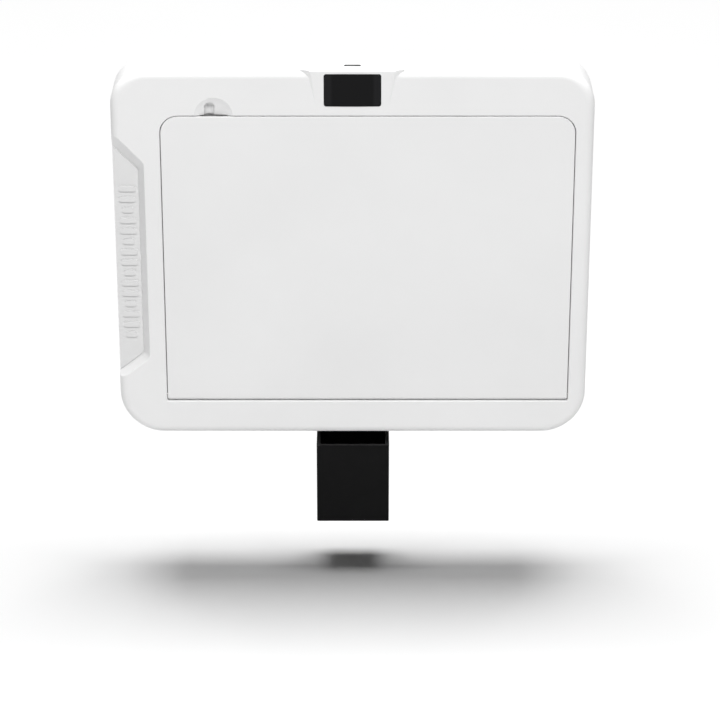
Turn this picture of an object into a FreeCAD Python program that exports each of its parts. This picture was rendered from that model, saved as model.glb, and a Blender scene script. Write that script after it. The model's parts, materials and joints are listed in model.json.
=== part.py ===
"""Phone charging kiosk: a slim moulded cabinet with a drop-down door, held on a post by a steel sleeve.

Millimetres. +Z is up and the front faces -Y. The origin is the centre of the post sleeve's lower mouth.
"""

import FreeCAD, Part
import math
import os

Vector = FreeCAD.Vector

# ---- driving dimensions ------------------------------------------------------------------------
SLEEVE_W = 60.0            # rectangular hollow section 60 x 40 x 3
SLEEVE_D = 40.0
SLEEVE_H = 70.0
SLEEVE_WALL = 3.0
SLEEVE_CORNER_R = 1.5
SLEEVE_TO_BODY = 15.5      # open air between the sleeve's top rim and the cabinet

BODY_W = 380.0
BODY_D = 47.0
TOP_CORNER_R = 30.0
BOTTOM_CORNER_R = 36.0
FRONT_EDGE_R = 7.0
REAR_EDGE_R = 8.0
WALL = 3.0
PARTING_DEPTH = 36.0       # front bezel depth; the rest is the rear cover
SEAM_BEVEL = 0.4

DOOR_W = 326.0
DOOR_H = 244.0
DOOR_SHIFT_X = 12.0        # the door sits right of the cabinet's centre, past the grip recess
DOOR_UNDER = 30.4          # cabinet below the door
DOOR_OVER = 38.0           # cabinet above the door
DOOR_GAP = 0.6
DOOR_GAP_BOTTOM = 0.8
DOOR_TOP_R = 14.0
DOOR_BOTTOM_R = 2.5
OPENING_BOTTOM_R = 1.6     # sharper than the door's corners, so that the open door turns clear of it
DOOR_THICK = 8.0
DOOR_SKIN = 2.5
EDGE_R = 0.7               # small rounding on the door's and the opening's rims
INNER_PANEL_THICK = 1.5
ROLL_FRONT_R = 3.0         # the door's lower edge, front and rear
ROLL_REAR_R = 1.8
PIVOT_INSET = 4.0          # hinge axis behind the front face and above the door's lower edge
PIN_R = 1.5
BUSH_R = 2.5
BUSH_LENGTH = 12.0
PIN_SEAT_LEFT = 8.6        # the pins reach this far into the bosses beside the door
PIN_SEAT_RIGHT = 6.4
PIN_IN_DOOR = 10.0
PIN_BOSS_WALL = 1.0
RUNNING_GAP = 0.05

JAMB_WALL = 2.5
STOP_INSET = 15.0          # the stop frame reaches this far inside the door's outline
STOP_FRONT = 11.0
STOP_BACK = 13.5
SEAL_THICK = 1.2
SEAL_WIDTH = 5.0
CHAMBER_DEPTH = 25.5
LINER_WALL = 1.2
BAYS = 4

DISPLAY_W = 45.0
DISPLAY_H = 27.0
DISPLAY_UNDER_TOP = 2.6
DISPLAY_CORNER_R = 2.0
PAD_PROUD = 1.2            # at the cabinet's top; the pad leans back to meet the front at its lower edge
PAD_SINK = 0.1
PAD_FLARE = 8.0
PAD_EDGE_R = 0.8
LENS_PROUD = 0.4
LENS_CROWN_R = 420.0
LENS_PLAY = 0.15
PAD_HALF_TOP = 33.0
PAD_HALF_BOTTOM = 28.0

BUTTON_W = 13.0
BUTTON_D = 2.8
BUTTON_PROUD = 0.5
BUTTON_TRAVEL = 1.5
BUTTON_BEHIND_FRONT = 12.5

SCOOP_X = -108.8
SCOOP_R = 15.2             # a shallow dish over the door's top edge
SCOOP_DEPTH = 4.5
SCOOP_RISE = 0.5
POCKET_R = 4.2             # an upright fingertip groove within the dish, open towards the door
POCKET_DEPTH = 7.4
POCKET_SHIFT_X = -3.4
POCKET_RISE = 7.0
POCKET_DROP = 2.0
SCOOP_WALL = 2.2
PULL_HALF = 11.0           # undercut behind the door's top edge, below the scoop
PULL_SKIN = 1.5
PULL_DROP = 5.0
BUILD_GAP = 0.3            # play between mouldings that are screwed or set together

RECESS_DEPTH = 10.0
RECESS_CORNER_R = 7.0
RECESS_EDGE_R = 1.0
# how far in from the cabinet's side, then heights above its foot: outer low, inner low, inner high, outer high
RECESS_MOUTH = (25.4, 44.3, 68.0, 235.5, 267.5)
RECESS_FLOOR = (19.6, 49.7, 68.9, 228.0, 252.6)
RECESS_RUN_OUT = 5.0           # the outlines start this far outside the cabinet's side
GRIP_PLATE = 1.0
GRIP_RIBS = 15
GRIP_RIB_PITCH = 9.0
GRIP_RIB_PROUD = 1.3
GRIP_RIB_X = 10.8
GRIP_RIB_HALF = 6.8
GRIP_RIB_SHORT_HALF = 4.6
GRIP_RIB_HALF_H = 2.2
GRIP_SET_IN = 0.8

BRACKET_PATTERN = 75.0     # 75 x 75 screw pattern behind the cabinet
BRACKET_PLATE = 96.0
BRACKET_PLATE_LOW = 44.0   # plate's lower edge above the cabinet's foot

# ---- places worked out from them ---------------------------------------------------------------
BACK = SLEEVE_D / 2 - SLEEVE_WALL
FRONT = BACK - BODY_D
PARTING = FRONT + PARTING_DEPTH
LEFT = -BODY_W / 2
RIGHT = BODY_W / 2
FOOT = SLEEVE_H + SLEEVE_TO_BODY
DOOR_LOW = FOOT + DOOR_UNDER
DOOR_HIGH = DOOR_LOW + DOOR_H
TOP = DOOR_HIGH + DOOR_OVER
DOOR_LEFT = DOOR_SHIFT_X - DOOR_W / 2
DOOR_RIGHT = DOOR_SHIFT_X + DOOR_W / 2
AXIS_Y = FRONT + PIVOT_INSET
AXIS_Z = DOOR_LOW + PIVOT_INSET
CHAMBER_LEFT = DOOR_LEFT + STOP_INSET - 2.0
CHAMBER_RIGHT = DOOR_RIGHT - STOP_INSET + 2.0
CHAMBER_LOW = DOOR_LOW + STOP_INSET
CHAMBER_HIGH = DOOR_HIGH - STOP_INSET
CHAMBER_FRONT = FRONT + STOP_BACK
CHAMBER_BACK = CHAMBER_FRONT + CHAMBER_DEPTH
DISPLAY_HIGH = TOP - DISPLAY_UNDER_TOP
DISPLAY_LOW = DISPLAY_HIGH - DISPLAY_H
BUTTON_Y = FRONT + BUTTON_BEHIND_FRONT
LATCH_X = 72.0
LATCH_Y = FRONT + 5.5
LATCH_R = 2.0
LATCH_TRAVEL = 5.0
COVER_SCREWS = [
    (LEFT + 20, FOOT + 19), (RIGHT - 20, FOOT + 19),
    (LEFT + 18, TOP - 17), (RIGHT - 18, TOP - 17),
    (-75.0, TOP - 14), (110.0, TOP - 14),
    (-60.0, FOOT + 14), (60.0, FOOT + 14),
]
BRACKET_Z = FOOT + BRACKET_PLATE_LOW + BRACKET_PLATE / 2


# ---- small shape helpers -----------------------------------------------------------------------
def box(x0, x1, y0, y1, z0, z1):
    """A block between two corners."""
    return Part.makeBox(x1 - x0, y1 - y0, z1 - z0, Vector(x0, y0, z0))


def rod(axis, radius, start, end, a, b):
    """A cylinder along X, Y or Z from start to end; a and b are its other two places in X, Y, Z order."""
    if axis == "x":
        foot, way = Vector(start, a, b), Vector(1, 0, 0)
    elif axis == "y":
        foot, way = Vector(a, start, b), Vector(0, 1, 0)
    else:
        foot, way = Vector(a, b, start), Vector(0, 0, 1)
    return Part.makeCylinder(radius, end - start, foot, way)


def outline(x0, x1, z0, z1, y, r_top, r_bottom):
    """A rectangle with rounded corners, in a plane of constant Y."""
    corners = [
        (x1 - r_bottom, z0 + r_bottom, r_bottom, -90),
        (x1 - r_top, z1 - r_top, r_top, 0),
        (x0 + r_top, z1 - r_top, r_top, 90),
        (x0 + r_bottom, z0 + r_bottom, r_bottom, 180),
    ]
    arcs = []
    for cx, cz, r, first in corners:
        points = []
        for angle in (first, first + 45, first + 90):
            turn = math.radians(angle)
            points.append(Vector(cx + r * math.cos(turn), y, cz + r * math.sin(turn)))
        arcs.append(Part.Arc(*points).toShape())
    edges = []
    for i, arc in enumerate(arcs):
        edges.append(arc)
        here = arc.Vertexes[-1].Point
        there = arcs[(i + 1) % 4].Vertexes[0].Point
        edges.append(Part.makeLine(here, there))
    return Part.Wire(edges)


def slab(x0, x1, z0, z1, y0, y1, r_top, r_bottom=None):
    """A rounded plate standing in the XZ plane, from y0 back to y1."""
    wire = outline(x0, x1, z0, z1, y0, r_top, r_top if r_bottom is None else r_bottom)
    return Part.Face(wire).extrude(Vector(0, y1 - y0, 0))


def stadium(width, depth, x, y, z0, z1):
    """An upright prism with a slim round-ended plan."""
    r = depth / 2
    core = box(x - width / 2 + r, x + width / 2 - r, y - r, y + r, z0, z1)
    for end in (-1, 1):
        core = core.fuse(rod("z", r, z0, z1, x + end * (width / 2 - r), y))
    return core.removeSplitter()


def edges_in_plane(shape, y):
    """The edges that lie wholly in the plane Y = y."""
    found = []
    for edge in shape.Edges:
        bounds = edge.BoundBox
        if abs(bounds.YMin - y) < 0.01 and abs(bounds.YMax - y) < 0.01:
            found.append(edge)
    return found


def polygon(points, y):
    """A closed flat wire from (x, z) points in a plane of constant Y."""
    corners = [Vector(x, y, z) for x, z in points]
    return Part.makePolygon(corners + corners[:1])


def socket_screw(x, z, head_y, tip_y, shank_r, head_r, head_h, sign):
    """A pan-headed screw along Y with a hexagon socket; sign is +1 when the head is at the larger Y."""
    low, high = sorted((head_y, tip_y))
    shank = rod("y", shank_r, low, high, x, z)
    head_low = head_y if sign > 0 else head_y - head_h
    head = rod("y", head_r, head_low, head_low + head_h, x, z)
    rim = head_y + sign * head_h
    head = head.makeFillet(head_h * 0.45, edges_in_plane(head, rim))
    hexagon = []
    for i in range(6):
        turn = math.radians(60 * i)
        hexagon.append((x + shank_r * math.cos(turn), z + shank_r * math.sin(turn)))
    key = Part.Face(polygon(hexagon, rim)).extrude(Vector(0, -sign * head_h * 0.6, 0))
    return shank.fuse(head).removeSplitter().cut(key)


def group(shapes):
    """Separate identical solids that share one node."""
    return Part.makeCompound(shapes)


def save(name, shape):
    """Write one sub-part."""
    shape.exportStep("parts/" + name + ".step")


# ---- cabinet -----------------------------------------------------------------------------------
def recess_outline(y, places, grow=0.0):
    """The grip recess seen from the front: it opens through the cabinet's left side."""
    reach, low_out, low_in, high_in, high_out = places
    outer = LEFT - RECESS_RUN_OUT
    inner = LEFT + reach
    wire = polygon([(outer, FOOT + low_out), (inner, FOOT + low_in),
                    (inner, FOOT + high_in), (outer, FOOT + high_out)], y)
    return wire.makeOffset2D(grow, 2) if grow else wire


def round_inner_corners(shape, radius):
    """Rounds the recess's two inner corners."""
    corners = [e for e in shape.Edges if e.BoundBox.YLength > GRIP_PLATE / 2 and e.BoundBox.XMax > LEFT + 15]
    return shape.makeFillet(radius, corners)


def recess_tool(grow=0.0):
    """The solid that the grip recess is cut with; grow makes the wall behind it."""
    mouth = recess_outline(FRONT, RECESS_MOUTH, grow)
    floor = recess_outline(FRONT + RECESS_DEPTH + grow, RECESS_FLOOR, grow)
    return round_inner_corners(Part.makeLoft([mouth, floor], True, True), RECESS_CORNER_R)


def scoop_tool(extra=0.0):
    """The finger scoop: a shallow dish and a deeper round-topped groove; extra makes the wall behind them."""
    dish_r = (SCOOP_R ** 2 + SCOOP_DEPTH ** 2) / (2 * SCOOP_DEPTH)
    dish = Part.makeSphere(dish_r + extra, Vector(SCOOP_X, FRONT + SCOOP_DEPTH - dish_r, DOOR_HIGH + SCOOP_RISE))
    x = SCOOP_X + POCKET_SHIFT_X
    y = FRONT + POCKET_DEPTH - POCKET_R
    high = DOOR_HIGH + POCKET_RISE
    groove = rod("z", POCKET_R + extra, DOOR_HIGH - POCKET_DROP, high, x, y)
    crown = Part.makeSphere(POCKET_R + extra, Vector(x, y, high))
    return dish.fuse([groove, crown])


def display_pad():
    """The pad that carries the display: it fills the rounded top edge and leans back into the front below."""
    low = DISPLAY_LOW - 2.0
    face = Part.makePolygon([
        Vector(-PAD_HALF_TOP, FRONT - PAD_PROUD, TOP), Vector(PAD_HALF_TOP, FRONT - PAD_PROUD, TOP),
        Vector(PAD_HALF_BOTTOM, FRONT + PAD_SINK, low), Vector(-PAD_HALF_BOTTOM, FRONT + PAD_SINK, low),
        Vector(-PAD_HALF_TOP, FRONT - PAD_PROUD, TOP)])
    root_half = PAD_HALF_TOP + PAD_FLARE
    low_half = PAD_HALF_BOTTOM + PAD_FLARE
    root = polygon([(-root_half, TOP), (root_half, TOP), (low_half, low - 2.0), (-low_half, low - 2.0)],
                   FRONT + WALL)
    pad = Part.makeLoft([face, root], True, True)
    return pad.makeFillet(PAD_EDGE_R, [e for e in pad.Edges if e.BoundBox.YMax < FRONT + WALL / 2])


def scoop_bowl(play=0.0):
    """The wall behind the finger scoop, above the door and in front of the stop frame."""
    reach = 2 * SCOOP_R
    room = box(SCOOP_X - reach, SCOOP_X + reach, FRONT, FRONT + STOP_FRONT, DOOR_HIGH + DOOR_GAP, TOP)
    return scoop_tool(SCOOP_WALL + play).common(room)


def door_opening():
    """The space that the closed door and its gaps fill."""
    return slab(DOOR_LEFT - DOOR_GAP, DOOR_RIGHT + DOOR_GAP, DOOR_LOW - DOOR_GAP_BOTTOM, DOOR_HIGH + DOOR_GAP,
                FRONT - 5, FRONT + STOP_FRONT, DOOR_TOP_R + DOOR_GAP, OPENING_BOTTOM_R)


def pins(reach_in):
    """The hinge pins' shapes, or with a short reach into the door the seats that hold them."""
    return [
        rod("x", PIN_R, DOOR_LEFT - PIN_SEAT_LEFT, DOOR_LEFT + reach_in, AXIS_Y, AXIS_Z),
        rod("x", PIN_R, DOOR_RIGHT - reach_in, DOOR_RIGHT + PIN_SEAT_RIGHT, AXIS_Y, AXIS_Z),
    ]


def door_frame():
    """The door's inner frame behind the bezel: jamb, stop, pin bosses and magnet seats."""
    frame = slab(DOOR_LEFT - DOOR_GAP - JAMB_WALL, DOOR_RIGHT + DOOR_GAP + JAMB_WALL,
                 DOOR_LOW - DOOR_GAP_BOTTOM - JAMB_WALL, DOOR_HIGH + DOOR_GAP + JAMB_WALL,
                 FRONT + WALL, FRONT + STOP_BACK, DOOR_TOP_R + JAMB_WALL, DOOR_BOTTOM_R + JAMB_WALL)
    bosses = []
    for x0, x1 in ((DOOR_LEFT - PIN_SEAT_LEFT - PIN_BOSS_WALL, DOOR_LEFT),
                   (DOOR_RIGHT, DOOR_RIGHT + PIN_SEAT_RIGHT + PIN_BOSS_WALL)):
        bosses.append(box(x0, x1, FRONT + WALL, FRONT + 9, DOOR_LOW - 2, DOOR_LOW + 10))
    mouth = slab(CHAMBER_LEFT, CHAMBER_RIGHT, CHAMBER_LOW, CHAMBER_HIGH, FRONT, CHAMBER_FRONT + 5, 6.0)
    cuts = [door_opening(), mouth, scoop_bowl(BUILD_GAP)] + pins(1.0)
    cuts.append(rod("z", LATCH_R + 0.4, DOOR_HIGH - 1, DOOR_HIGH + 10, LATCH_X, LATCH_Y))
    for x, z in magnet_places():
        cuts.append(rod("y", 4.0, FRONT + STOP_FRONT, FRONT + STOP_BACK, x, z))
    return frame.fuse(bosses).cut(cuts).removeSplitter()


def front_bezel():
    """The cabinet's front half: shell, door opening, display pad, finger scoop and grip recess."""
    outer = slab(LEFT, RIGHT, FOOT, TOP, FRONT, PARTING, TOP_CORNER_R, BOTTOM_CORNER_R)
    outer = outer.makeFillet(FRONT_EDGE_R, edges_in_plane(outer, FRONT))
    outer = outer.makeChamfer(SEAM_BEVEL, edges_in_plane(outer, PARTING))
    inner = slab(LEFT + WALL, RIGHT - WALL, FOOT + WALL, TOP - WALL, FRONT + WALL, PARTING + 1,
                 TOP_CORNER_R - WALL, BOTTOM_CORNER_R - WALL)
    inner = inner.makeFillet(FRONT_EDGE_R - WALL, edges_in_plane(inner, FRONT + WALL))
    bezel = outer.cut(inner)

    bosses = []
    for x, z in COVER_SCREWS:
        bosses.append(rod("y", 4.5, FRONT + 1.5, PARTING, x, z))
    backing = recess_tool(WALL).common(outer)
    bezel = bezel.fuse([backing, scoop_bowl().common(outer), display_pad()] + bosses)

    flare_wires = []
    for y, grow in ((FRONT - EDGE_R, 2 * EDGE_R), (FRONT + EDGE_R, 0.0)):
        flare_wires.append(outline(DOOR_LEFT - DOOR_GAP - grow, DOOR_RIGHT + DOOR_GAP + grow,
                                   DOOR_LOW - DOOR_GAP_BOTTOM - grow, DOOR_HIGH + DOOR_GAP + grow, y,
                                   DOOR_TOP_R + DOOR_GAP + grow, OPENING_BOTTOM_R + grow))
    flare = Part.makeLoft(flare_wires, True, True)
    window = slab(-DISPLAY_W / 2, DISPLAY_W / 2, DISPLAY_LOW, DISPLAY_HIGH, FRONT - 3, FRONT + WALL + 1,
                  DISPLAY_CORNER_R)
    cuts = [door_opening(), flare, window, scoop_tool(), recess_tool()] + pins(1.0)
    cuts.append(stadium(BUTTON_W + 0.8, BUTTON_D + 0.8, 0, BUTTON_Y, TOP - 5, TOP + 1))
    cuts.append(rod("z", 5.6, FOOT - 1, FOOT + 6, 0, 0))
    for x, z in COVER_SCREWS:
        cuts.append(rod("y", 1.5, PARTING - 14, PARTING + 1, x, z))
    bezel = bezel.cut(cuts).removeSplitter()
    rim = [e for e in edges_in_plane(bezel, FRONT) if LEFT + 15 < e.BoundBox.XMax < LEFT + RECESS_MOUTH[0] + 1]
    return bezel.makeFillet(RECESS_EDGE_R, rim)


def side_grip():
    """The plate on the recess floor, with a ladder of plain grip ribs."""
    back = FRONT + RECESS_DEPTH
    floor = Part.Face(recess_outline(back - GRIP_PLATE, RECESS_FLOOR, -BUILD_GAP))
    plate = round_inner_corners(floor.extrude(Vector(0, GRIP_PLATE, 0)), RECESS_CORNER_R)
    plate = plate.cut(box(LEFT - 10, LEFT + GRIP_SET_IN, back - 5, back + 5, FOOT, TOP))
    middle = FOOT + (RECESS_FLOOR[2] + RECESS_FLOOR[3]) / 2
    x = LEFT + GRIP_RIB_X
    for i in range(GRIP_RIBS):
        z = middle + (i - (GRIP_RIBS - 1) / 2) * GRIP_RIB_PITCH
        half = GRIP_RIB_HALF if i % 3 else GRIP_RIB_SHORT_HALF
        rib = slab(x - half, x + half, z - GRIP_RIB_HALF_H, z + GRIP_RIB_HALF_H,
                   back - GRIP_PLATE - GRIP_RIB_PROUD, back - GRIP_PLATE / 2, GRIP_RIB_HALF_H - 0.1)
        plate = plate.fuse(rib)
    return plate.removeSplitter()


def vent_slots(x_mid, z_mid, count, pitch, half_height):
    """A row of upright round-ended slots through the rear cover."""
    slots = []
    for i in range(count):
        x = x_mid + (i - (count - 1) / 2) * pitch
        slots.append(slab(x - 1.5, x + 1.5, z_mid - half_height, z_mid + half_height, BACK - 8, BACK + 1, 1.45))
    return slots


def rear_cover():
    """The cabinet's back: a shallow rounded tray with vents, screw wells and insert bosses."""
    cover = slab(LEFT, RIGHT, FOOT, TOP, PARTING, BACK, TOP_CORNER_R, BOTTOM_CORNER_R)
    cover = cover.makeFillet(REAR_EDGE_R, edges_in_plane(cover, BACK))
    cover = cover.makeChamfer(SEAM_BEVEL, edges_in_plane(cover, PARTING))
    hollow = slab(LEFT + WALL, RIGHT - WALL, FOOT + WALL, TOP - WALL, PARTING - 1, BACK - WALL,
                  TOP_CORNER_R - WALL, BOTTOM_CORNER_R - WALL)
    hollow = hollow.makeFillet(REAR_EDGE_R - WALL, edges_in_plane(hollow, BACK - WALL))
    cover = cover.cut(hollow)
    posts = []
    cuts = []
    for x, z in COVER_SCREWS:
        posts.append(rod("y", 5.5, PARTING, BACK - 1, x, z))
        cuts.append(rod("y", 1.8, PARTING - 1, BACK + 1, x, z))
        cuts.append(rod("y", 3.4, BACK - 4.0, BACK + 1, x, z))
    for x, z in bracket_places():
        posts.append(rod("y", 5.0, BACK - 6.0, BACK - 1, x, z))
        cuts.append(rod("y", 3.0, BACK - 7.0, BACK + 1, x, z))
    cover = cover.fuse(posts)
    cuts += vent_slots(-120, TOP - 40, 12, 7, 9)
    cuts += vent_slots(120, TOP - 40, 12, 7, 9)
    cuts += vent_slots(-120, FOOT + 34, 12, 7, 9)
    cuts += vent_slots(120, FOOT + 34, 12, 7, 9)
    return cover.cut(cuts).removeSplitter()


def bracket_places():
    """The four screw places of the bracket pattern."""
    half = BRACKET_PATTERN / 2
    return [(x, BRACKET_Z + z) for x in (-half, half) for z in (-half, half)]


def cover_screws():
    """Screws that close the rear cover."""
    return group([socket_screw(x, z, BACK - 4.0, PARTING - 12, 1.45, 3.0, 2.4, 1) for x, z in COVER_SCREWS])


# ---- chamber -----------------------------------------------------------------------------------
def chamber_liner():
    """The bright folded tray that forms the phone chamber."""
    x0, x1 = CHAMBER_LEFT, CHAMBER_RIGHT
    z0, z1 = CHAMBER_LOW, CHAMBER_HIGH
    t = LINER_WALL
    skin = slab(x0 - t, x1 + t, z0 - t, z1 + t, CHAMBER_FRONT, CHAMBER_BACK + t, 6.0 + t)
    flange = slab(x0 - 6, x1 + 6, z0 - 6, z1 + 6, CHAMBER_FRONT, CHAMBER_FRONT + t, 12.0)
    space = slab(x0, x1, z0, z1, CHAMBER_FRONT - 1, CHAMBER_BACK, 6.0)
    return skin.fuse(flange).cut(space).removeSplitter()


def door_seal():
    """The soft lip on the stop frame that the closed door meets."""
    y0 = FRONT + STOP_FRONT - SEAL_THICK
    y1 = FRONT + STOP_FRONT
    edge = 0.5
    far = edge + SEAL_WIDTH
    ring = slab(CHAMBER_LEFT - far, CHAMBER_RIGHT + far, CHAMBER_LOW - far, CHAMBER_HIGH + far, y0, y1, 6.0 + far)
    hole = slab(CHAMBER_LEFT - edge, CHAMBER_RIGHT + edge, CHAMBER_LOW - edge, CHAMBER_HIGH + edge,
                y0 - 1, y1 + 1, 6.0 + edge)
    return ring.cut(hole)


def bay_walls():
    """The X places of the rack's end plates and dividers."""
    return [CHAMBER_LEFT + 1.6 + i * (CHAMBER_RIGHT - CHAMBER_LEFT - 3.2) / BAYS for i in range(BAYS + 1)]


def rack_shelf():
    """The shelf that phones stand on, with a low front lip."""
    y0 = CHAMBER_FRONT + 1.5
    y1 = CHAMBER_BACK - 0.5
    shelf = box(CHAMBER_LEFT + 0.5, CHAMBER_RIGHT - 0.5, y0, y1, CHAMBER_LOW + 5, CHAMBER_LOW + 8)
    feet = box(CHAMBER_LEFT + 12, CHAMBER_RIGHT - 12, y1 - 4, y1, CHAMBER_LOW + 0.3, CHAMBER_LOW + 5)
    lip = slab(CHAMBER_LEFT + 0.5, CHAMBER_RIGHT - 0.5, CHAMBER_LOW + 5, CHAMBER_LOW + 18, y0, y0 + 2, 3.0, 0.9)
    return shelf.fuse([feet, lip]).removeSplitter()


def rack_dividers():
    """Upright fins between the phone bays."""
    y0 = CHAMBER_FRONT + 4.5
    y1 = CHAMBER_BACK - 4.5
    fins = []
    for x in bay_walls():
        fin = box(x - 1.1, x + 1.1, y0, y1, CHAMBER_LOW + 8, CHAMBER_LOW + 78)
        front_top = [e for e in fin.Edges if e.BoundBox.ZMin > CHAMBER_LOW + 77 and e.BoundBox.YMax < y0 + 0.1]
        fins.append(fin.makeFillet(12.0, front_top))
    return group(fins)


def shelf_mats():
    """Soft mats under the phones."""
    walls = bay_walls()
    mats = []
    for left, right in zip(walls, walls[1:]):
        mats.append(box(left + 3, right - 3, CHAMBER_FRONT + 5, CHAMBER_BACK - 5, CHAMBER_LOW + 8, CHAMBER_LOW + 9.5))
    return group(mats)


def charging_pads():
    """Round charging pads on the chamber's back wall, one for each bay."""
    pads = []
    walls = bay_walls()
    for left, right in zip(walls, walls[1:]):
        pad = rod("y", 30.0, CHAMBER_BACK - 3.5, CHAMBER_BACK, (left + right) / 2, CHAMBER_LOW + 88)
        pads.append(pad.makeFillet(1.5, edges_in_plane(pad, CHAMBER_BACK - 3.5)))
    return group(pads)


def lamp_places():
    """Y and Z of the lamp tubes under the chamber's roof."""
    return [(CHAMBER_FRONT + 6.5, CHAMBER_HIGH - 6.0), (CHAMBER_BACK - 6.5, CHAMBER_HIGH - 6.0)]


def lamp_tubes():
    """Slim lamp tubes along the chamber's roof."""
    return group([rod("x", 3.5, CHAMBER_LEFT + 17, CHAMBER_RIGHT - 17, y, z) for y, z in lamp_places()])


def lamp_holders():
    """Sockets at the ends of the lamp tubes."""
    holders = []
    for y, z in lamp_places():
        for x0 in (CHAMBER_LEFT + 7, CHAMBER_RIGHT - 17):
            block = box(x0, x0 + 10, y - 5.0, y + 5.0, z - 5.0, CHAMBER_HIGH)
            holders.append(block)
    return group(holders)


# ---- electronics -------------------------------------------------------------------------------
def display_lens():
    """The dark window, slightly crowned from side to side, that leans with its pad."""
    w = DISPLAY_W / 2 - LENS_PLAY
    front = FRONT - LENS_PROUD
    lens = slab(-w, w, DISPLAY_LOW + LENS_PLAY, DISPLAY_HIGH - LENS_PLAY, front, FRONT + 1.8,
                DISPLAY_CORNER_R - LENS_PLAY)
    barrel = rod("z", LENS_CROWN_R, DISPLAY_LOW - 1, DISPLAY_HIGH + 1, 0, front + LENS_CROWN_R)
    lens = lens.common(barrel)
    lens = lens.makeFillet(LENS_PLAY, [e for e in lens.Edges if e.BoundBox.YMax < front + WALL / 2])
    middle = (DISPLAY_LOW + DISPLAY_HIGH) / 2
    lean = math.degrees(math.atan((PAD_PROUD + PAD_SINK) / (TOP - DISPLAY_LOW + 2.0)))
    lens.rotate(Vector(0, front, middle), Vector(1, 0, 0), lean)
    lens.translate(Vector(0, -PAD_PROUD / 2, 0))
    return lens


def display_module():
    """The display behind the window."""
    half = DISPLAY_W / 2 + 3
    module = box(-half, half, FRONT + WALL + 1.2, FRONT + WALL + 4, DISPLAY_LOW - 1, DISPLAY_HIGH - 3)
    glass = box(-DISPLAY_W / 2 + 1, DISPLAY_W / 2 - 1, FRONT + 2.0, FRONT + WALL + 1.2, DISPLAY_LOW + 1,
                DISPLAY_HIGH - 2)
    return module.fuse(glass).removeSplitter()


def power_button():
    """The slim push button on the cabinet's top, with a flange that keeps it in its slot."""
    stem = stadium(BUTTON_W, BUTTON_D, 0, BUTTON_Y, TOP - WALL - 2.0, TOP + BUTTON_PROUD)
    rim = [e for e in stem.Edges if e.BoundBox.ZMin > TOP + BUTTON_PROUD - 0.01]
    stem = stem.makeFillet(0.6, rim)
    flange = stadium(BUTTON_W + 4, BUTTON_D + 3.2, 0, BUTTON_Y, TOP - WALL - 2.0, TOP - WALL - 0.4)
    return stem.fuse(flange).removeSplitter()


def button_switch():
    """The switch under the button, on its small board and two hangers."""
    board_top = TOP - WALL - 10.0
    tip = TOP - WALL - 2.0 - BUTTON_TRAVEL - 0.4
    board = box(-16, 16, BUTTON_Y - 5, BUTTON_Y + 5, board_top - 1.6, board_top)
    case = box(-3.2, 3.2, BUTTON_Y - 3.2, BUTTON_Y + 3.2, board_top, board_top + 4)
    plunger = rod("z", 1.7, board_top + 4, tip, 0, BUTTON_Y)
    hangers = []
    for x in (-14, 14):
        hangers.append(box(x - 1.5, x + 1.5, BUTTON_Y - 3, BUTTON_Y + 3, board_top, TOP - WALL))
    return board.fuse([case, plunger] + hangers).removeSplitter()


def latch_body():
    """The door lock's coil frame, above the jamb."""
    z0 = DOOR_HIGH + DOOR_GAP + JAMB_WALL + 2
    frame = box(LATCH_X - 11, LATCH_X + 11, FRONT + WALL + 0.2, FRONT + WALL + 14, z0, z0 + 22)
    coil = rod("z", 6.0, z0 + 3, z0 + 19, LATCH_X, FRONT + WALL + 14)
    bore = rod("z", LATCH_R + RUNNING_GAP, z0 - 1, z0 + 18, LATCH_X, LATCH_Y)
    return frame.fuse(coil).removeSplitter().cut(bore)


def latch_bolt():
    """The lock bolt, drawn up clear of the door."""
    bolt = rod("z", LATCH_R, DOOR_HIGH + DOOR_GAP + 1.0, DOOR_HIGH + 22, LATCH_X, LATCH_Y)
    tip = [e for e in bolt.Edges if e.BoundBox.ZMax < DOOR_HIGH + DOOR_GAP + 1.1]
    return bolt.makeChamfer(0.5, tip)


def magnet_places():
    """X and Z of the two door magnets in the stop frame."""
    z = DOOR_HIGH - 4.8
    return [(DOOR_SHIFT_X - 90, z), (DOOR_SHIFT_X + 90, z)]


def catch_magnets():
    """Magnets that hold the door shut."""
    return group([rod("y", 4.0, FRONT + STOP_FRONT, FRONT + STOP_BACK, x, z) for x, z in magnet_places()])


def power_supply():
    """The enclosed supply beside the chamber."""
    case = box(LEFT + 6, CHAMBER_LEFT - 9, CHAMBER_FRONT + 4, BACK - WALL - 4, FOOT + 50, FOOT + 165)
    upright = [e for e in case.Edges if abs(e.BoundBox.ZLength - 115) < 0.1]
    return case.makeFillet(2.0, upright)


def control_board():
    """The control board above the supply."""
    y = BACK - WALL - 10
    board = box(LEFT + 7, CHAMBER_LEFT - 9, y, y + 1.6, FOOT + 175, TOP - 38)
    return board


def board_parts():
    """Packages on the control board."""
    y = BACK - WALL - 10
    x = LEFT + 12
    chips = []
    for low, width, height, tall in ((180, 14, 14, 2.2), (200, 20, 9, 5), (216, 10, 10, 3), (232, 22, 8, 6.5)):
        chips.append(box(x, x + width, y - tall, y, FOOT + low, FOOT + low + height))
    return group(chips)


def charge_board():
    """The charging driver board on the chamber's right side."""
    x = CHAMBER_RIGHT + 10
    board = box(x, x + 1.6, CHAMBER_FRONT + 4, BACK - WALL - 4, FOOT + 50, TOP - 60)
    coils = []
    for i in range(BAYS):
        coils.append(rod("x", 5.0, x - 5.5, x, (CHAMBER_FRONT + BACK - WALL) / 2, FOOT + 75 + 35 * i))
    return board.fuse(coils).removeSplitter()


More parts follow.
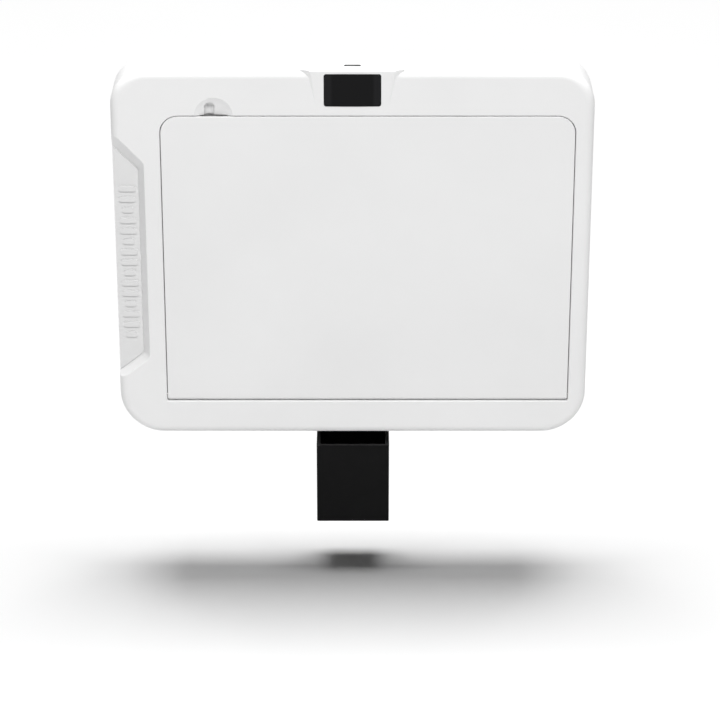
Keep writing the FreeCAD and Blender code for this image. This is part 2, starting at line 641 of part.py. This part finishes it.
def power_inlet():
    """The low-voltage inlet in the cabinet's underside, over the open sleeve."""
    barrel = rod("z", 5.5, FOOT, FOOT + 12, 0, 0)
    flange = rod("z", 7.0, FOOT - 1.5, FOOT, 0, 0)
    nut = rod("z", 7.5, FOOT + WALL, FOOT + WALL + 2.5, 0, 0)
    bore = rod("z", 2.85, FOOT - 2, FOOT + 9, 0, 0)
    return barrel.fuse([flange, nut]).removeSplitter().cut(bore)


# ---- door --------------------------------------------------------------------------------------
def lower_edges(shape, y):
    """The door's lower edge in the plane Y = y."""
    return [e for e in edges_in_plane(shape, y) if e.BoundBox.ZMax < DOOR_LOW + 0.01]


def bush_spans(over):
    """Where the two hinge bushes start and end in X, with some length over at the door's sides."""
    return ((DOOR_LEFT - over, DOOR_LEFT + BUSH_LENGTH), (DOOR_RIGHT - BUSH_LENGTH, DOOR_RIGHT + over))


def door_panel():
    """The door's outer moulding: a shallow tray with thick rims, its lower edge rolled about the hinge axis."""
    panel = slab(DOOR_LEFT, DOOR_RIGHT, DOOR_LOW, DOOR_HIGH, FRONT, FRONT + DOOR_THICK, DOOR_TOP_R, DOOR_BOTTOM_R)
    panel = panel.makeFillet(EDGE_R, edges_in_plane(panel, FRONT))
    rolled = box(DOOR_LEFT - 1, DOOR_RIGHT + 1, FRONT, FRONT + DOOR_THICK, DOOR_LOW, DOOR_HIGH + 1)
    rolled = rolled.makeFillet(ROLL_FRONT_R, lower_edges(rolled, FRONT))
    rolled = rolled.makeFillet(ROLL_REAR_R, lower_edges(rolled, FRONT + DOOR_THICK))
    panel = panel.common(rolled)
    pocket = slab(DOOR_LEFT + 9, DOOR_RIGHT - 9, DOOR_LOW + 12, DOOR_HIGH - 14, FRONT + DOOR_SKIN,
                  FRONT + DOOR_THICK + 1, 8.0)
    cuts = [pocket]
    for x0, x1 in bush_spans(1.0):
        cuts.append(rod("x", BUSH_R, x0, x1, AXIS_Y, AXIS_Z))
    cuts.append(box(LATCH_X - 4, LATCH_X + 4, LATCH_Y - 2.4, FRONT + DOOR_THICK + 1, DOOR_HIGH - 6, DOOR_HIGH + 1))
    cuts.append(box(SCOOP_X - PULL_HALF, SCOOP_X + PULL_HALF, FRONT + PULL_SKIN, FRONT + DOOR_THICK + 1,
                    DOOR_HIGH - PULL_DROP, DOOR_HIGH + 1))
    for x, z in door_screw_places():
        cuts.append(rod("y", 1.2, FRONT + 3, FRONT + DOOR_THICK + 1, x, z))
    return panel.cut(cuts).removeSplitter()


def door_screw_places():
    """X and Z of the screws that hold the inner panel."""
    high = DOOR_HIGH - 12
    low = DOOR_LOW + 9
    xs = (DOOR_LEFT + 7, DOOR_SHIFT_X, DOOR_RIGHT - 7)
    places = [(x, z) for x in xs for z in (low, high)]
    return places + [(xs[0], (low + high) / 2), (xs[2], (low + high) / 2)]


def door_inner_panel():
    """The bright sheet that closes the back of the door."""
    y0 = FRONT + DOOR_THICK
    y1 = y0 + INNER_PANEL_THICK
    sheet = slab(DOOR_LEFT + 4, DOOR_RIGHT - 4, DOOR_LOW + 6, DOOR_HIGH - 9.5, y0, y1, 8.0, 3.0)
    holes = []
    for x, z in door_screw_places():
        holes.append(rod("y", 1.4, y0 - 1, y1 + 1, x, z))
        holes.append(rod("y", 2.6, y1 - 1.0, y1 + 1, x, z))
    return sheet.cut(holes)


def door_screws():
    """Flush screws through the inner panel."""
    y1 = FRONT + DOOR_THICK + INNER_PANEL_THICK
    screws = []
    for x, z in door_screw_places():
        shank = rod("y", 1.15, FRONT + 4, y1 - 0.9, x, z)
        head = rod("y", 2.4, y1 - 1.0, y1, x, z)
        key = box(x - 1.6, x + 1.6, y1 - 0.5, y1 + 1, z - 0.3, z + 0.3)
        screws.append(shank.fuse(head).removeSplitter().cut(key))
    return group(screws)


def strike_plates():
    """Steel plates that the door magnets pull on."""
    y0 = FRONT + DOOR_THICK
    return group([slab(x - 8, x + 8, z - 4.2, z + 4.2, y0, y0 + INNER_PANEL_THICK, 1.5) for x, z in magnet_places()])


def hinge_bushes():
    """Bushes pressed into the door's lower corners."""
    bushes = []
    for x0, x1 in bush_spans(0.0):
        outer = rod("x", BUSH_R, x0, x1, AXIS_Y, AXIS_Z)
        bushes.append(outer.cut(rod("x", PIN_R + RUNNING_GAP, x0 - 1, x1 + 1, AXIS_Y, AXIS_Z)))
    return group(bushes)


def hinge_pins():
    """Pins fixed in the jamb that the door turns on."""
    return group(pins(PIN_IN_DOOR))


# ---- post bracket ------------------------------------------------------------------------------
def rounded_tube(half_w, half_d, r, z0, z1):
    """A rectangular prism with rounded upright corners."""
    block = box(-half_w, half_w, -half_d, half_d, z0, z1)
    upright = [e for e in block.Edges if e.BoundBox.ZLength > (z1 - z0) * 0.9]
    return block.makeFillet(r, upright)


def post_sleeve():
    """The open-ended steel sleeve that slides over the post's tenon."""
    outer = rounded_tube(SLEEVE_W / 2, SLEEVE_D / 2, SLEEVE_CORNER_R, 0, SLEEVE_H)
    inner = rounded_tube(SLEEVE_W / 2 - SLEEVE_WALL, SLEEVE_D / 2 - SLEEVE_WALL, 0.6, -1, SLEEVE_H + 1)
    tube = outer.cut(inner)
    holes = []
    for z in (20.0, 50.0):
        holes.append(rod("y", 3.3, SLEEVE_D / 2 - SLEEVE_WALL - 1, SLEEVE_D / 2 + 1, 0, z))
    return tube.cut(holes)


def back_plate():
    """The flat neck and square plate that carry the cabinet, welded on top of the sleeve's rear wall."""
    y0 = BACK
    y1 = SLEEVE_D / 2
    half = BRACKET_PLATE / 2
    low = FOOT + BRACKET_PLATE_LOW
    neck = box(-SLEEVE_W / 2 + SLEEVE_CORNER_R, SLEEVE_W / 2 - SLEEVE_CORNER_R, y0, y1, SLEEVE_H, low + 5)
    plate = slab(-half, half, low, low + BRACKET_PLATE, y0, y1, 8.0)
    plate = plate.fuse(neck).removeSplitter()
    holes = [rod("y", 2.4, y0 - 1, y1 + 1, x, z) for x, z in bracket_places()]
    return plate.cut(holes)


def plate_ribs():
    """Two upright stiffening ribs on the back of the neck and plate."""
    y0 = SLEEVE_D / 2
    ribs = []
    for x in (-20, 20):
        points = [(y0, SLEEVE_H + 4), (y0 + 9, SLEEVE_H + 22), (y0 + 9, BRACKET_Z - 30), (y0, BRACKET_Z + 20)]
        corners = [Vector(x - 1.5, y, z) for y, z in points]
        profile = Part.makePolygon(corners + corners[:1])
        ribs.append(Part.Face(profile).extrude(Vector(3, 0, 0)))
    return group(ribs)


def bracket_inserts():
    """Threaded brass inserts in the rear cover."""
    inserts = []
    for x, z in bracket_places():
        body = rod("y", 3.0, BACK - 6.0, BACK, x, z)
        inserts.append(body.cut(rod("y", 1.95, BACK - 7.0, BACK + 1, x, z)))
    return group(inserts)


def bracket_screws():
    """Screws from the plate into the inserts."""
    return group([socket_screw(x, z, SLEEVE_D / 2, BACK - 5.0, 1.9, 3.8, 2.4, 1) for x, z in bracket_places()])


PARTS = [
    front_bezel, door_frame, side_grip, rear_cover, cover_screws,
    chamber_liner, door_seal, rack_shelf, rack_dividers, shelf_mats, charging_pads, lamp_tubes, lamp_holders,
    display_lens, display_module, power_button, button_switch, latch_body, latch_bolt, catch_magnets,
    power_supply, control_board, board_parts, charge_board, power_inlet,
    door_panel, door_inner_panel, door_screws, strike_plates, hinge_bushes, hinge_pins,
    post_sleeve, back_plate, plate_ribs, bracket_inserts, bracket_screws,
]

os.makedirs("parts", exist_ok=True)
for make in PARTS:
    save(make.__name__, make())
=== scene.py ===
"""Looks of the phone charging kiosk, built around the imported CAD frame. Everything is in metres."""

import json
import math

import bmesh
import bpy
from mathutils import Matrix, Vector


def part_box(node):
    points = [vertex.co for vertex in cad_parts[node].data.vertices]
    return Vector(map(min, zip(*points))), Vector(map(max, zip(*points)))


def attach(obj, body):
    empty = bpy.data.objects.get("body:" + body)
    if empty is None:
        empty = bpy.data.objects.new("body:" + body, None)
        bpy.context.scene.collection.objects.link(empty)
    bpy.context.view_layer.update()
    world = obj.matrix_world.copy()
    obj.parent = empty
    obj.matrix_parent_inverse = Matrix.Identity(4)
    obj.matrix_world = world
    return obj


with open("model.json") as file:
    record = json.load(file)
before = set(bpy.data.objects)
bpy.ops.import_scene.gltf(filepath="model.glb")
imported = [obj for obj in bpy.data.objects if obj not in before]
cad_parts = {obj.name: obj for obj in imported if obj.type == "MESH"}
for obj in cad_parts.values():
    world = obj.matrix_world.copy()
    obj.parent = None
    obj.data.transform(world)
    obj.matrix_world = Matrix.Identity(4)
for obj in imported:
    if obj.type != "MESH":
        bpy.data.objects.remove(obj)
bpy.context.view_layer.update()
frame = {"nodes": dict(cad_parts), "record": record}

scene = bpy.context.scene
nodes = frame["nodes"]
MM = 0.001

# ---- places and sizes --------------------------------------------------------------------------
FLOOR_BELOW_SLEEVE = 45 * MM
FLOOR_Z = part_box("post_sleeve")[0].z - FLOOR_BELOW_SLEEVE
FLOOR_HALF = 12.0

PAD_COUNT = 4
OUTER_RING = {"radius": 22 * MM, "half": 1.1 * MM, "height": 0.35 * MM}
INNER_RING = {"radius": 9 * MM, "half": 0.8 * MM, "height": 0.3 * MM}
RING_SINK = 0.3 * MM

CAP_LENGTH = 7 * MM
CAP_INSIDE_GLASS = 0.4 * MM
CAP_OVER_GLASS = 0.45 * MM
CAP_ROLL = 1.2 * MM
CAP_ROLL_END = 0.4 * MM
CAP_ROLL_DROP = 0.2 * MM

SOFT_EDGES = {
    "side_grip": 0.35 * MM,
    "rack_shelf": 0.4 * MM,
    "rack_dividers": 0.35 * MM,
    "post_sleeve": 0.4 * MM,
    "back_plate": 0.4 * MM,
    "plate_ribs": 0.4 * MM,
}

CAMERA_RIGHT = 5.9 * MM
CAMERA_AHEAD = 2151.8 * MM
CAMERA_HIGH = 1091.1 * MM
CAMERA_PITCH = 23.88
LENS = 142.8

OVERHEAD_PLACE = (0, 0.95, 8.0)
OVERHEAD_TARGET = (0, 0, 0.1)
OVERHEAD_SIZE = (5.4, 3.7)
OVERHEAD_POWER = 750
FILL_PLACE = (0.15, -2.5, 3.1)
FILL_TARGET = (0, 0, 0.24)
FILL_SIZE = (1.6, 1.2)
FILL_POWER = 112
SURROUND_STRENGTH = 0.05


# ---- material building -------------------------------------------------------------------------
def new_material(name):
    """An empty node material with its shader and an object-space coordinate."""
    mat = bpy.data.materials.new(name)
    mat.use_nodes = True
    tree = mat.node_tree
    shader = tree.nodes["Principled BSDF"]
    coord = tree.nodes.new("ShaderNodeTexCoord")
    return mat, tree, shader, coord.outputs["Object"]


def noise(tree, coord, scale, detail=3.0, roughness=0.5, stretch=(1, 1, 1)):
    """A noise field; stretch gives it a grain direction."""
    mapping = tree.nodes.new("ShaderNodeMapping")
    mapping.inputs["Scale"].default_value = stretch
    tree.links.new(coord, mapping.inputs["Vector"])
    tex = tree.nodes.new("ShaderNodeTexNoise")
    tex.inputs["Scale"].default_value = scale
    tex.inputs["Detail"].default_value = detail
    tex.inputs["Roughness"].default_value = roughness
    tree.links.new(mapping.outputs["Vector"], tex.inputs["Vector"])
    return tex.outputs["Fac"]


def spread(tree, field, low, high, start=0.3, end=0.7):
    """Maps a field from start..end to low..high."""
    node = tree.nodes.new("ShaderNodeMapRange")
    node.inputs["From Min"].default_value = start
    node.inputs["From Max"].default_value = end
    node.inputs["To Min"].default_value = low
    node.inputs["To Max"].default_value = high
    node.clamp = True
    tree.links.new(field, node.inputs["Value"])
    return node.outputs["Result"]


def blend_colours(tree, field, first, second):
    """Mixes two colours by a field."""
    mix = tree.nodes.new("ShaderNodeMix")
    mix.data_type = "RGBA"
    mix.inputs["A"].default_value = (*first, 1)
    mix.inputs["B"].default_value = (*second, 1)
    tree.links.new(field, mix.inputs["Factor"])
    return mix.outputs["Result"]


def add_bump(tree, shader, height, strength, distance):
    """Puts a height field on the shader's normal."""
    bump = tree.nodes.new("ShaderNodeBump")
    bump.inputs["Strength"].default_value = strength
    bump.inputs["Distance"].default_value = distance
    tree.links.new(height, bump.inputs["Height"])
    tree.links.new(bump.outputs["Normal"], shader.inputs["Normal"])


def facing_up(tree):
    """1 on faces that point up, 0 on upright ones and on those that face down."""
    geometry = tree.nodes.new("ShaderNodeNewGeometry")
    split = tree.nodes.new("ShaderNodeSeparateXYZ")
    tree.links.new(geometry.outputs["Normal"], split.inputs["Vector"])
    return spread(tree, split.outputs["Z"], 0, 1, 0.6, 0.95)


def away_from_middle(tree, coord, start, end):
    """0 near the X middle, rising to 1 between two distances from it."""
    split = tree.nodes.new("ShaderNodeSeparateXYZ")
    tree.links.new(coord, split.inputs["Vector"])
    size = tree.nodes.new("ShaderNodeMath")
    size.operation = "ABSOLUTE"
    tree.links.new(split.outputs["X"], size.inputs[0])
    return spread(tree, size.outputs["Value"], 0, 1, start, end)


def multiply(tree, first, second):
    """The product of two fields."""
    node = tree.nodes.new("ShaderNodeMath")
    node.operation = "MULTIPLY"
    tree.links.new(first, node.inputs[0])
    tree.links.new(second, node.inputs[1])
    return node.outputs["Value"]


def shade(colour, factor):
    """A colour made lighter or darker."""
    return tuple(min(1.0, c * factor) for c in colour)


def moulded(name, colour, rough, tone=0.02, depth=0.02, coat=0.0):
    """Moulded plastic: faint tone drift, a fine spark-eroded grain and uneven gloss."""
    mat, tree, shader, coord = new_material(name)
    drift = noise(tree, coord, scale=9, detail=4)
    tint = blend_colours(tree, spread(tree, drift, 0, 1), shade(colour, 1 - tone), shade(colour, 1 + tone))
    tree.links.new(tint, shader.inputs["Base Color"])
    gloss = noise(tree, coord, scale=45)
    tree.links.new(spread(tree, gloss, rough - 0.04, rough + 0.05), shader.inputs["Roughness"])
    shader.inputs["Coat Weight"].default_value = coat
    shader.inputs["Coat Roughness"].default_value = 0.12
    grain = noise(tree, coord, scale=1500, detail=2, roughness=0.6)
    add_bump(tree, shader, grain, strength=0.25, distance=depth * MM)
    return mat


def drawn_metal(name, colour, rough, stretch, scale=900, bump=0.01):
    """Bright metal with a directional grain."""
    mat, tree, shader, coord = new_material(name)
    shader.inputs["Metallic"].default_value = 1.0
    lines = noise(tree, coord, scale, detail=4, roughness=0.65, stretch=stretch)
    tint = blend_colours(tree, spread(tree, lines, 0, 1), shade(colour, 0.9), shade(colour, 1.06))
    tree.links.new(tint, shader.inputs["Base Color"])
    smudge = noise(tree, coord, scale=22, detail=4)
    tree.links.new(spread(tree, smudge, rough - 0.05, rough + 0.09), shader.inputs["Roughness"])
    add_bump(tree, shader, lines, strength=0.3, distance=bump * MM)
    return mat


def powder_coat(name, colour, rough, top_highlight=(0.03, 0.03, 0.03)):
    """Powder-coated steel: orange peel, polished rub marks and a painted highlight, with faces that point
    up painted a paler grey in patches.
    """
    mat, tree, shader, coord = new_material(name)
    peel = noise(tree, coord, scale=700, detail=2, roughness=0.4)
    rub = noise(tree, coord, scale=30, detail=6, roughness=0.7)
    tint = blend_colours(tree, spread(tree, rub, 0, 1, 0.45, 0.8), colour, shade(colour, 1.7))
    # painted highlight: faces that point up are mixed, in patches, towards a paler grey for the light that
    # top faces and rims catch
    patches = spread(tree, noise(tree, coord, scale=90, detail=4), 0.5, 1)
    mix = tree.nodes.new("ShaderNodeMix")
    mix.data_type = "RGBA"
    mix.inputs["B"].default_value = (*top_highlight, 1)
    tree.links.new(multiply(tree, facing_up(tree), patches), mix.inputs["Factor"])
    tree.links.new(tint, mix.inputs["A"])
    tree.links.new(mix.outputs["Result"], shader.inputs["Base Color"])
    tree.links.new(spread(tree, rub, rough - 0.08, rough + 0.06), shader.inputs["Roughness"])
    shader.inputs["Specular IOR Level"].default_value = 0.1
    add_bump(tree, shader, peel, strength=0.3, distance=0.05 * MM)
    return mat


def soft_rubber(name, colour):
    """Matte rubber with a dusty bloom."""
    mat, tree, shader, coord = new_material(name)
    bloom = noise(tree, coord, scale=120, detail=5, roughness=0.6)
    tint = blend_colours(tree, spread(tree, bloom, 0, 1), shade(colour, 0.85), shade(colour, 1.25))
    tree.links.new(tint, shader.inputs["Base Color"])
    tree.links.new(spread(tree, bloom, 0.7, 0.88), shader.inputs["Roughness"])
    fine = noise(tree, coord, scale=2200, detail=2)
    add_bump(tree, shader, fine, strength=0.35, distance=0.03 * MM)
    return mat


def black_glass(name, colour, reflection_start, reflection_end):
    """A polished dark window, painted paler towards both sides as a painted reflection, with faint wiped
    streaks.
    """
    mat, tree, shader, coord = new_material(name)
    streak = noise(tree, coord, scale=60, detail=5, roughness=0.6, stretch=(1, 1, 0.25))
    # painted reflection: the glass colour turns paler between two distances from the X middle
    edge_reflection = away_from_middle(tree, coord, reflection_start, reflection_end)
    tint = blend_colours(tree, edge_reflection, colour, shade(colour, 2.0))
    tree.links.new(tint, shader.inputs["Base Color"])
    tree.links.new(spread(tree, streak, 0.08, 0.16), shader.inputs["Roughness"])
    shader.inputs["Specular IOR Level"].default_value = 0.1
    wave = noise(tree, coord, scale=14, detail=2)
    add_bump(tree, shader, wave, strength=0.08, distance=0.1 * MM)
    return mat


def lamp_glass(name, colour):
    """A frosted lamp tube."""
    mat, tree, shader, coord = new_material(name)
    frost = noise(tree, coord, scale=160, detail=4)
    tint = blend_colours(tree, spread(tree, frost, 0, 1), shade(colour, 0.92), colour)
    tree.links.new(tint, shader.inputs["Base Color"])
    tree.links.new(spread(tree, frost, 0.12, 0.3), shader.inputs["Roughness"])
    shader.inputs["Transmission Weight"].default_value = 0.55
    shader.inputs["IOR"].default_value = 1.46
    add_bump(tree, shader, frost, strength=0.1, distance=0.02 * MM)
    return mat


def circuit(name, colour):
    """Solder mask over faint copper runs."""
    mat, tree, shader, coord = new_material(name)
    brick = tree.nodes.new("ShaderNodeTexBrick")
    brick.inputs["Scale"].default_value = 260
    brick.inputs["Mortar Size"].default_value = 0.03
    brick.inputs["Color1"].default_value = (*shade(colour, 0.8), 1)
    brick.inputs["Color2"].default_value = (*shade(colour, 1.15), 1)
    brick.inputs["Mortar"].default_value = (*shade(colour, 1.8), 1)
    tree.links.new(coord, brick.inputs["Vector"])
    tree.links.new(brick.outputs["Color"], shader.inputs["Base Color"])
    haze = noise(tree, coord, scale=80)
    tree.links.new(spread(tree, haze, 0.25, 0.4), shader.inputs["Roughness"])
    add_bump(tree, shader, brick.outputs["Fac"], strength=0.2, distance=0.03 * MM)
    return mat


MATERIALS = {
    "housing_white": moulded("housing_white", (0.825, 0.825, 0.825), 0.42),
    "door_white": moulded("door_white", (0.815, 0.815, 0.815), 0.46),
    "grip_white": moulded("grip_white", (0.73, 0.73, 0.73), 0.55, depth=0.04),
    "screw_zinc": drawn_metal("screw_zinc", (0.62, 0.62, 0.6), 0.32, (1, 1, 1)),
    "bright_liner": drawn_metal("bright_liner", (0.86, 0.87, 0.88), 0.2, (0.05, 1, 1)),
    "seal_grey": soft_rubber("seal_grey", (0.13, 0.135, 0.14)),
    "rack_white": moulded("rack_white", (0.74, 0.76, 0.78), 0.28, coat=0.3),
    "mat_grey": soft_rubber("mat_grey", (0.06, 0.063, 0.066)),
    "pad_black": moulded("pad_black", (0.022, 0.022, 0.024), 0.5, tone=0.2, depth=0.05),
    "lamp_glass": lamp_glass("lamp_glass", (0.82, 0.86, 0.96)),
    "socket_white": moulded("socket_white", (0.7, 0.7, 0.68), 0.5),
    "lens_black": black_glass("lens_black", (0.0055, 0.0055, 0.006), 15.5 * MM, 17.5 * MM),
    "display_black": moulded("display_black", (0.02, 0.02, 0.022), 0.4, tone=0.2),
    "button_black": moulded("button_black", (0.02, 0.02, 0.02), 0.38, tone=0.2),
    "latch_steel": drawn_metal("latch_steel", (0.5, 0.5, 0.49), 0.3, (1, 1, 0.08)),
    "magnet_nickel": drawn_metal("magnet_nickel", (0.66, 0.65, 0.63), 0.15, (1, 1, 1)),
    "supply_case": drawn_metal("supply_case", (0.52, 0.53, 0.54), 0.38, (1, 1, 0.1)),
    "board_green": circuit("board_green", (0.012, 0.09, 0.04)),
    "chip_black": moulded("chip_black", (0.02, 0.02, 0.02), 0.45, tone=0.2),
    "inlet_black": moulded("inlet_black", (0.014, 0.014, 0.014), 0.3, tone=0.2),
    "bush_bronze": drawn_metal("bush_bronze", (0.5, 0.33, 0.16), 0.42, (1, 1, 1), scale=1400, bump=0.03),
    "bracket_black": powder_coat("bracket_black", (0.003, 0.003, 0.0032), 0.5),
    "insert_brass": drawn_metal("insert_brass", (0.72, 0.53, 0.22), 0.28, (1, 1, 1)),
    "screw_black": powder_coat("screw_black", (0.012, 0.012, 0.012), 0.35),
}


def dress_cad_nodes():
    """Gives every CAD node the material of its slot."""
    for entry in frame["record"]["subparts"]:
        mesh = nodes[entry["node"]].data
        mesh.materials.clear()
        mesh.materials.append(MATERIALS[entry["material_slot"]])


# ---- added pieces ------------------------------------------------------------------------------
def turned(name, slot, body, centres, axis, profile, steps=64):
    """Rings turned about an axis through each centre, from a closed profile of (radius, distance along)."""
    shape = bmesh.new()
    along = Vector((1, 0, 0)) if axis == "X" else Vector((0, 1, 0))
    side = Vector((0, 0, 1))
    across = along.cross(side)
    for centre in centres:
        rows = []
        for i in range(steps):
            turn = 2 * math.pi * i / steps
            out = side * math.cos(turn) + across * math.sin(turn)
            rows.append([shape.verts.new(Vector(centre) + out * r + along * d) for r, d in profile])
        count = len(profile)
        for i, row in enumerate(rows):
            nearby = rows[(i + 1) % steps]
            for k in range(count):
                shape.faces.new((row[k], row[(k + 1) % count], nearby[(k + 1) % count], nearby[k]))
    bmesh.ops.recalc_face_normals(shape, faces=shape.faces)
    mesh = bpy.data.meshes.new(name)
    shape.to_mesh(mesh)
    shape.free()
    mesh.materials.append(MATERIALS[slot])
    for face in mesh.polygons:
        face.use_smooth = True
    piece = bpy.data.objects.new(name, mesh)
    scene.collection.objects.link(piece)
    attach(piece, body)


def bead(radius, half, height, steps=8):
    """A low rounded ring profile that stands on a face, a little sunk into it."""
    points = [(radius - half, RING_SINK)]
    for i in range(steps + 1):
        turn = math.pi * i / steps
        points.append((radius - half * math.cos(turn), -height * math.sin(turn)))
    points.append((radius + half, RING_SINK))
    return points


def make_pad_rings():
    """Two soft grip rings on each charging pad."""
    low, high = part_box("charging_pads")
    pad_radius = (high.z - low.z) / 2
    middle_z = (low.z + high.z) / 2
    first = low.x + pad_radius
    pitch = (high.x - pad_radius - first) / (PAD_COUNT - 1)
    centres = [(first + pitch * i, low.y, middle_z) for i in range(PAD_COUNT)]
    turned("pad_outer_rings", "seal_grey", "cabinet", centres, "Y", bead(**OUTER_RING))
    turned("pad_inner_rings", "seal_grey", "cabinet", centres, "Y", bead(**INNER_RING), steps=48)


def make_lamp_caps():
    """Bright end caps on the lamp tubes, rolled over the glass."""
    low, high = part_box("lamp_tubes")
    radius = (high.z - low.z) / 2
    middle_z = (low.z + high.z) / 2
    inner = radius - CAP_INSIDE_GLASS
    outer = radius + CAP_OVER_GLASS
    for name, x, way in (("lamp_caps_left", low.x, 1), ("lamp_caps_right", high.x, -1)):
        profile = [
            (inner, 0),
            (outer, 0),
            (outer, way * (CAP_LENGTH - CAP_ROLL)),
            (outer - CAP_ROLL_DROP, way * (CAP_LENGTH - CAP_ROLL_END)),
            (inner, way * CAP_LENGTH),
        ]
        centres = [(x, low.y + radius, middle_z), (x, high.y - radius, middle_z)]
        turned(name, "magnet_nickel", "cabinet", centres, "X", profile, steps=40)


def soften(node, width):
    """Small rounded edges on a CAD node, for the highlights that moulded and folded edges have."""
    bevel = nodes[node].modifiers.new("soft_edges", "BEVEL")
    bevel.width = width
    bevel.segments = 3
    bevel.limit_method = "ANGLE"
    bevel.angle_limit = math.radians(40)
    bevel.harden_normals = False


# ---- camera, lights and floor ------------------------------------------------------------------
def set_camera():
    """The long-lens view from the front and above."""
    data = bpy.data.cameras.new("camera")
    data.lens = LENS
    data.sensor_width = 36
    data.clip_end = 50
    camera = bpy.data.objects.new("camera", data)
    camera.location = (CAMERA_RIGHT, -CAMERA_AHEAD, CAMERA_HIGH)
    camera.rotation_euler = (math.radians(90 - CAMERA_PITCH), 0, 0)
    scene.collection.objects.link(camera)
    scene.camera = camera


def area_light(name, place, target, size, power):
    """A soft rectangular light that points at target."""
    data = bpy.data.lights.new(name, "AREA")
    data.shape = "RECTANGLE"
    data.size, data.size_y = size
    data.energy = power
    lamp = bpy.data.objects.new(name, data)
    lamp.location = place
    way = Vector(target) - Vector(place)
    lamp.rotation_euler = way.to_track_quat("-Z", "Y").to_euler()
    scene.collection.objects.link(lamp)
    return lamp


def set_lights(floor):
    """A broad light from above and a little behind, a front fill for the kiosk only, and a dim surround."""
    area_light("overhead", OVERHEAD_PLACE, OVERHEAD_TARGET, OVERHEAD_SIZE, OVERHEAD_POWER)
    fill = area_light("front_fill", FILL_PLACE, FILL_TARGET, FILL_SIZE, FILL_POWER)
    left_out = bpy.data.collections.new("not_filled")
    left_out.objects.link(floor)
    fill.light_linking.receiver_collection = left_out
    left_out.collection_objects[0].light_linking.link_state = "EXCLUDE"
    world = bpy.data.worlds.new("surround")
    world.use_nodes = True
    background = world.node_tree.nodes["Background"]
    background.inputs["Color"].default_value = (1, 1, 1, 1)
    background.inputs["Strength"].default_value = SURROUND_STRENGTH
    scene.world = world


def make_floor():
    """A plain pale floor below the hanging kiosk."""
    mesh = bpy.data.meshes.new("floor")
    signs = ((-1, -1), (1, -1), (1, 1), (-1, 1))
    corners = [(x * FLOOR_HALF, y * FLOOR_HALF, FLOOR_Z) for x, y in signs]
    mesh.from_pydata(corners, [], [(0, 1, 2, 3)])
    floor = bpy.data.objects.new("floor", mesh)
    scene.collection.objects.link(floor)
    mat, tree, shader, coord = new_material("floor_white")
    soft = noise(tree, coord, scale=3, detail=2)
    tint = blend_colours(tree, soft, (0.93, 0.93, 0.93), (0.95, 0.95, 0.95))
    tree.links.new(tint, shader.inputs["Base Color"])
    shader.inputs["Roughness"].default_value = 0.9
    mesh.materials.append(mat)
    return floor


# ---- build -------------------------------------------------------------------------------------
scene.view_settings.view_transform = "Standard"
set_camera()
set_lights(make_floor())
dress_cad_nodes()
make_pad_rings()
make_lamp_caps()
for node, width in SOFT_EDGES.items():
    soften(node, width)
